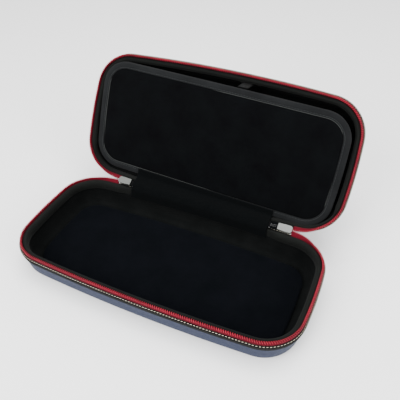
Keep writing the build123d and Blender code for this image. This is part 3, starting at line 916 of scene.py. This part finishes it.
def sweep_vector(side, place):
    """Root and way of the twist in cloth that leaves a half at the slider. The share of
    the twist grows evenly along the way: it is 0 at the tape's root and where the sweep
    begins, and 1 at the slider's mouth."""
    run = zip_first if side > 0 else zip_last
    near, far = rim_at(np.array([run, run + side * SWEEP_IN]))[0]
    mouth_y = HINGE_Y - TAPE_EDGE * sin(HALF_TURN)
    root, mouth, start = place(np.array([
        (*near, BINDING_TOP), (near[0], mouth_y, TAPE_EDGE * cos(HALF_TURN)), (*far, TAPE_EDGE),
    ]))
    # The share is g . (p - root): 0 at the root and at the sweep's start, 1 at the mouth
    rows = np.array([mouth - root, start - root, np.cross(mouth - root, start - root)])
    g = np.linalg.solve(rows, np.array([1.0, 0.0, 0.0]))
    return root, g / (g @ g)


for body, place in (("base", in_base), ("lid", in_lid)):
    shell = tub(f"{body}_shell_cloth", place, 0.0, SHELL_WALL, RIM_DROP, shell_cloth)
    dressed(shell, body, "shell", f"{body}_shell")
    lining = tub(
        f"{body}_lining_flock", place, LINING_OUT, LINING_IN, LINING_TOP, lining_flock,
        swell=0.12,
    )
    dressed(lining, body, "lining", f"{body}_lining")
    binding = edge_ring(f"{body}_edge_ribbon", place, edge_ribbon)
    dressed(binding, body, "binding", f"{body}_binding")
    dressed(rim_stitches(f"{body}_edge_stitches", place), body, "binding")

    phase = 0.0 if body == "base" else pi
    low, high = zip_first + SWEEP_IN, zip_last - SWEEP_IN
    for kind, (grid, run), paint, slot, nodes in (
        ("tape", tape_points(), tape_twill, "tape", [f"{body}_zipper_tape"]),
        ("coil", coil_points(phase), coil_nylon, "teeth", [f"{body}_zipper_teeth"]),
        ("cord", core_points(), tape_twill, "teeth", []),
    ):
        # The middle runs on by a row at each end, so that it meets the swept pieces
        lap = (run[1] - run[0]) * 1.01
        middle = grid_piece(
            f"{body}_zip_{kind}", place(split_run(grid, run, low - lap, high + lap)),
            paint, "band",
        )
        dressed(middle, body, slot, *nodes)
        for side, name, first, last in (
            (1, "right", run[0], low), (-1, "left", high, run[-1]),
        ):
            piece = grid_piece(
                f"{body}_zip_{kind}_{name}", place(split_run(grid, run, first, last)),
                paint, "band",
            )
            root, g = sweep_vector(side, place)
            if body == "base":
                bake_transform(piece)
            else:
                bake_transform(piece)


# ------------------------ floor pad

def slab_profile(section, crown):
    """Profile of a slab: the section of its edge, and its bottom and top drawn in to the
    spine. The top rises by the crown, as a quarter of a sine wave."""
    bottom = np.column_stack([np.repeat(section[:1], 5, 0), np.linspace(1, 0, 6)[:-1]])
    top = np.column_stack([np.repeat(section[-1:], 9, 0), np.linspace(0, 1, 10)[1:]])
    top[:, 1] -= crown * np.sin(top[:, 2] * pi / 2)
    return np.vstack([bottom, level(section), top])


def slab(name, points, place, material, run, around):
    """Piece of a slab's points whose UV map is its plan."""
    return grid_piece(
        name, place(points), material, "slab", uv_run=np.append(run, around),
        uv_side=np.arange(points.shape[1] + 1.0), flat_uv=points[..., :2],
    )


def floor_pad():
    """Pad on the base's floor: a soft slab whose edge is a roll and whose top crowns by
    a quarter of a millimetre and dips slowly here and there."""
    edge = float(growth(PAD_BOTTOM, PAD_IN))
    profile = slab_profile(np.array([
        (edge - 6.0, PAD_BOTTOM), (edge - 0.5, PAD_BOTTOM), (edge - 0.1, 29.2), (edge, 28.4),
        (edge - 0.15, 27.5), (edge - 0.8, 26.85), (edge - 2.2, 26.6), (edge - 5.0, 26.5),
    ]), 0.25)
    line, normal, run, around = rim_line(360)
    points = ring_points(line, normal, profile)
    points[..., 2] += np.where(points[..., 2] < 27.2, 0.14 * grain(points, 21), 0)
    return slab("floor_pad_flock", points, in_base, floor_flock, run, around)


pad = dressed(floor_pad(), "base", "floor_pad", "base_floor_pad")


# ------------------------ divider

panel_line, panel_normal, panel_run, panel_around = bowed_line(
    PANEL_LENGTH, PANEL_WIDTH, PANEL_CORNER, PANEL_SHORT_BOW, PANEL_LONG_BOW, 640
)


def panel_ring(profile):
    """Profile carried round the divider's outline: inset, behind, share to the spine."""
    points = ring_points(panel_line, panel_normal, profile * [-1, 1, 1], PANEL_SPINE)
    points[..., 1] += PANEL_WIDTH / 2
    return points


def panel_hem():
    """Padded hem: a flattened roll of seven by five millimetres round the divider, with
    a sewn groove near its inner edge, puckered a little by the stitches."""
    section = softened([
        (0.0, 0.2), (2.6, -0.1), (5.2, 0.1), (HEM_GROOVE, 0.75), (5.9, 0.25), (HEM, 0.6),
        (HEM + 0.05, 4.6), (5.0, 5.0), (0.0, 4.9),
    ], np.array([2.0, 1.5, 0.6, 0.3, 0.6, 0.5, 0.8, 1.5, 2.0]), 4)
    points = panel_ring(level(section))
    front = np.clip(1 - section[:, 1] / 2.5, 0, 1) * np.clip(section[:, 0] / 1.5, 0, 1)
    pucker = 0.06 * np.sin(panel_run * 2 * pi / HEM_PITCH)[:, None] + 0.22 * grain(points, 31)
    points[..., 2] += pucker * front
    return grid_piece(
        "divider_hem_roll", on_panel(points), hem_ribbon,
        uv_run=np.append(panel_run, panel_around),
        uv_side=distances(np.vstack([section, section[:1]])),
    )


def panel_cover():
    """Cloth face: it dips to the seam at the hem and crowns slightly over the board."""
    points = panel_ring(slab_profile(np.array([
        (9.0, 1.5), (7.1, 1.5), (7.12, 1.1), (7.5, 0.78), (8.6, 0.55), (11.0, 0.4),
    ]), 0.35))
    points[..., 2] += np.where(points[..., 2] < 0.6, 0.16 * grain(points, 41), 0)
    return slab(
        "divider_face_flock", points, on_panel, panel_flock, panel_run, panel_around
    )


hem_roll = dressed(panel_hem(), "divider", "hem", "divider_hem_band")
face = dressed(panel_cover(), "divider", "divider_cloth", "divider_cover")

hem_places = np.arange(0, panel_around - 1, HEM_PITCH)
seam_at, seam_out = line_at(panel_line, panel_normal, panel_run, panel_around, hem_places)
seam_centre = level(seam_at - HEM_GROOVE * seam_out) + [0, PANEL_WIDTH / 2, 0.5]
seam_along = level(seam_out[:, ::-1] * [1, -1])
dressed(
    stitch_row("divider_hem_stitches", on_panel, seam_centre, seam_along, level(seam_out),
               dark_thread, size=(1.05, 0.26, 0.24)),
    "divider", "hem",
)
repainted("divider_board", board_grey)


# ------------------------ cloth bands

def band_points(profile, thickness, low, high, columns, rounding, follow=None, ripple=0.1):
    """Band along x over a line of (y, z) points: the line is rounded and divided evenly,
    and the section is a thin slot half the thickness to each side, with round edges. The
    follow function gives each point's extra shift from x and its share of the run."""
    line = softened(profile, rounding, 7, closed=False)
    run = distances(line)
    place = np.linspace(0, run[-1], 40)
    line = np.stack([np.interp(place, run, line[:, i]) for i in (0, 1)], 1)
    step = tangents(line)
    left = np.stack([-step[:, 1], step[:, 0]], 1)
    half = thickness / 2
    section = np.vstack([line + half * left, (line - half * left)[::-1]])
    share = np.r_[place, place[::-1]] / run[-1]
    x = np.linspace(low, high, columns)
    points = np.zeros((columns, len(section), 3))
    points[..., 0] = x[:, None]
    points[..., 1:] = section
    if follow is not None:
        points[..., 1:] += follow(x[:, None], share[None, :])
    wave = ripple * grain(points * [1.0, 0.6, 0.6], 51)
    fade = np.sin(np.clip(share, 0, 1) * pi)
    points[..., 1] += wave * fade * 0.6
    points[..., 2] += wave * fade * 0.3
    return points, run[-1]


def spot(base, *moves):
    """(y, z) of a point moved along directions."""
    place = base.copy()
    for way, amount in moves:
        place = place + way * amount
    return place[1:]


# How far the bowed rims fall back from the hinge line at the hinge's ends
hinge_fall = float(behind_front(HINGE_HALF))
web_foot = hinge_fall / 2 + 0.6
web_reach = BINDING_TOP - 0.1
web_profile = np.array([
    (HINGE_Y - web_foot, DEPTH - web_reach),
    spot(hinge_point),
    spot(hinge_point, (lid_along, web_foot), (lid_out, web_reach)),
])
web_grid, _ = band_points(
    web_profile, 1.0, -HINGE_HALF, HINGE_HALF, 120, 1.6, ripple=0.08
)
web = grid_piece("hinge_outer_cloth", web_grid, hinge_cloth, "band")

strip_back = RIM_WIDTH / 2 - hinge_fall - 0.3 - STRIP_HALF
strip_profile = np.array([
    (strip_back + float(growth(STRIP_DROP, LINING_IN)), DEPTH - STRIP_DROP),
    (strip_back + float(growth(RIM_DROP, BINDING_IN)), DEPTH - BINDING_TOP + 0.3),
    spot(hinge_point, (zip_inner, 1.3 + STRIP_HALF)),
    spot(panel_foot, (panel_up, -0.3), (panel_front, 0.6 + STRIP_HALF)),
    spot(panel_foot, (panel_up, STRIP_LAP), (panel_front, 1.2 + STRIP_HALF)),
])


def with_bow(x, share):
    """The strip's foot follows the back wall's bow. Its top stays straight and follows
    the divider's slant: x times the sine of the turn, less towards the hinge line."""
    bow = (hinge_fall - behind_front(x)) * np.clip(1 - share / 0.55, 0, 1)
    slant = -x * sin(PANEL_TURN) * smooth_step((share - 0.6) / 0.4)
    return np.stack([bow + slant * panel_up[1], slant * panel_up[2]], -1)


strip_grid, strip_long = band_points(
    strip_profile, 2 * STRIP_HALF, -HINGE_HALF, HINGE_HALF, 140, 2.6,
    follow=with_bow, ripple=0.25,
)
strip = grid_piece("hinge_inner_cloth", strip_grid, hinge_cloth, "band")
# The hinge cloth is baked where it lies, in place of the hinge nodes. Its fold spot is
# 3 mm off the hinge line and 4 mm deep
fold = np.array([0.0, HINGE_Y - 3.0, 4.0])
for piece, node in ((web, "hinge_web"), (strip, "hinge_strip")):
    tuple(in_lid(fold) * 0.001)
    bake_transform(piece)
    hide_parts(node)


# ------------------------ tab and patch

wall_fall = float(behind_front(PATCH_END))


def lid_wall(deep, off):
    """(y, z) of a spot off the lid's far wall, inside its lining."""
    reach = HINGE_Y + RIM_WIDTH / 2 + float(growth(deep, LINING_IN)) - off
    return spot(hinge_point, (lid_along, reach), (lid_out, deep))


def grip_piece(name, profile, thickness, low, high, columns, rounding):
    """Nearly flat band of pile, and how long its line is."""
    points, long = band_points(
        profile, thickness, low, high, columns, rounding, ripple=0.02
    )
    return grid_piece(name, points, grip_pile, "band"), long


def lid_patch():
    """Loop patch on the lid's far wall: a thin flat pad, set off to clear the wall's bow."""
    lift = wall_fall + 0.7
    profile = np.array([lid_wall(PATCH_LOW, lift), lid_wall(PATCH_HIGH, lift)])
    return grip_piece("lid_loop_patch", profile, 1.1, PATCH_START, PATCH_END, 24, 0.1)


def divider_tab():
    """Tab from the divider's upper edge that turns over on to the patch."""
    lift = wall_fall + 2.1
    profile = np.array([
        lid_wall(PATCH_LOW - 5.0, lift),
        lid_wall(PATCH_HIGH, lift),
        spot(panel_foot, (panel_up, PANEL_WIDTH + 0.6), (panel_front, -2.5)),
    ])
    return grip_piece("divider_grip_tab", profile, 1.0, TAB_START, TAB_END, 16, 2.2)


patch, patch_long = lid_patch()
dressed(patch, "lid", "tab", "lid_patch")
tab, tab_long = divider_tab()
dressed(tab, "divider", "tab", "divider_tab")


# ------------------------ closed ends of the zip

def closed_end(side, name):
    """Closed end of the zip in its slider: two tapes, and two coils that mesh half a
    pitch apart. Both are painted near black as painted shade, for the shade that this
    end lies in; the real chain is red."""
    place, body = on_chain(side), f"zip_end_{name}"
    section = softened([
        (1.1, -TAPE_HALF), (3.8, -TAPE_HALF), (3.8, TAPE_HALF), (1.1, TAPE_HALF),
    ], 0.3, 3)
    x = np.linspace(CHAIN_START, CHAIN_END, 16)
    run = np.arange(CHAIN_START + 0.4, CHAIN_END - 0.4, TOOTH_PITCH / COIL_STEPS)
    for row, half in ((-1, "low"), (1, "high")):
        tape = np.zeros((len(x), len(section), 3))
        tape[..., 0] = x[:, None]
        tape[..., 1:] = section * [row, 1]
        turn = run / TOOTH_PITCH * 2 * pi + (0 if row < 0 else pi)
        centre = np.stack([run, row * (0.55 - 0.95 * np.cos(turn)), 0.8 * np.sin(turn)], 1)
        coil = wire_points(centre, np.array([0, row, 0.0]))
        # Tapes in the black hinge cloth and coils in the near-black end finish: painted shade,
        # as the real chain is red.
        for kind, points, paint, slot, node in (
            ("tape", tape, hinge_cloth, "tape", f"chain_tapes_{name}"),
            ("coil", coil, end_painted_shade, "teeth", f"chain_teeth_{name}"),
        ):
            piece = grid_piece(f"{body}_{kind}_{half}", place(points), paint, "band")
            dressed(piece, body, slot, *([node] if row < 0 else []))


for side, name in ((-1, "left"), (1, "right")):
    closed_end(side, name)
    # The stops take the same near-black finish: painted shade.
    repainted(f"chain_stop_{name}", end_painted_shade)
    repainted(f"slider_{name}", slider_alloy)
    repainted(f"pull_{name}", slider_alloy)
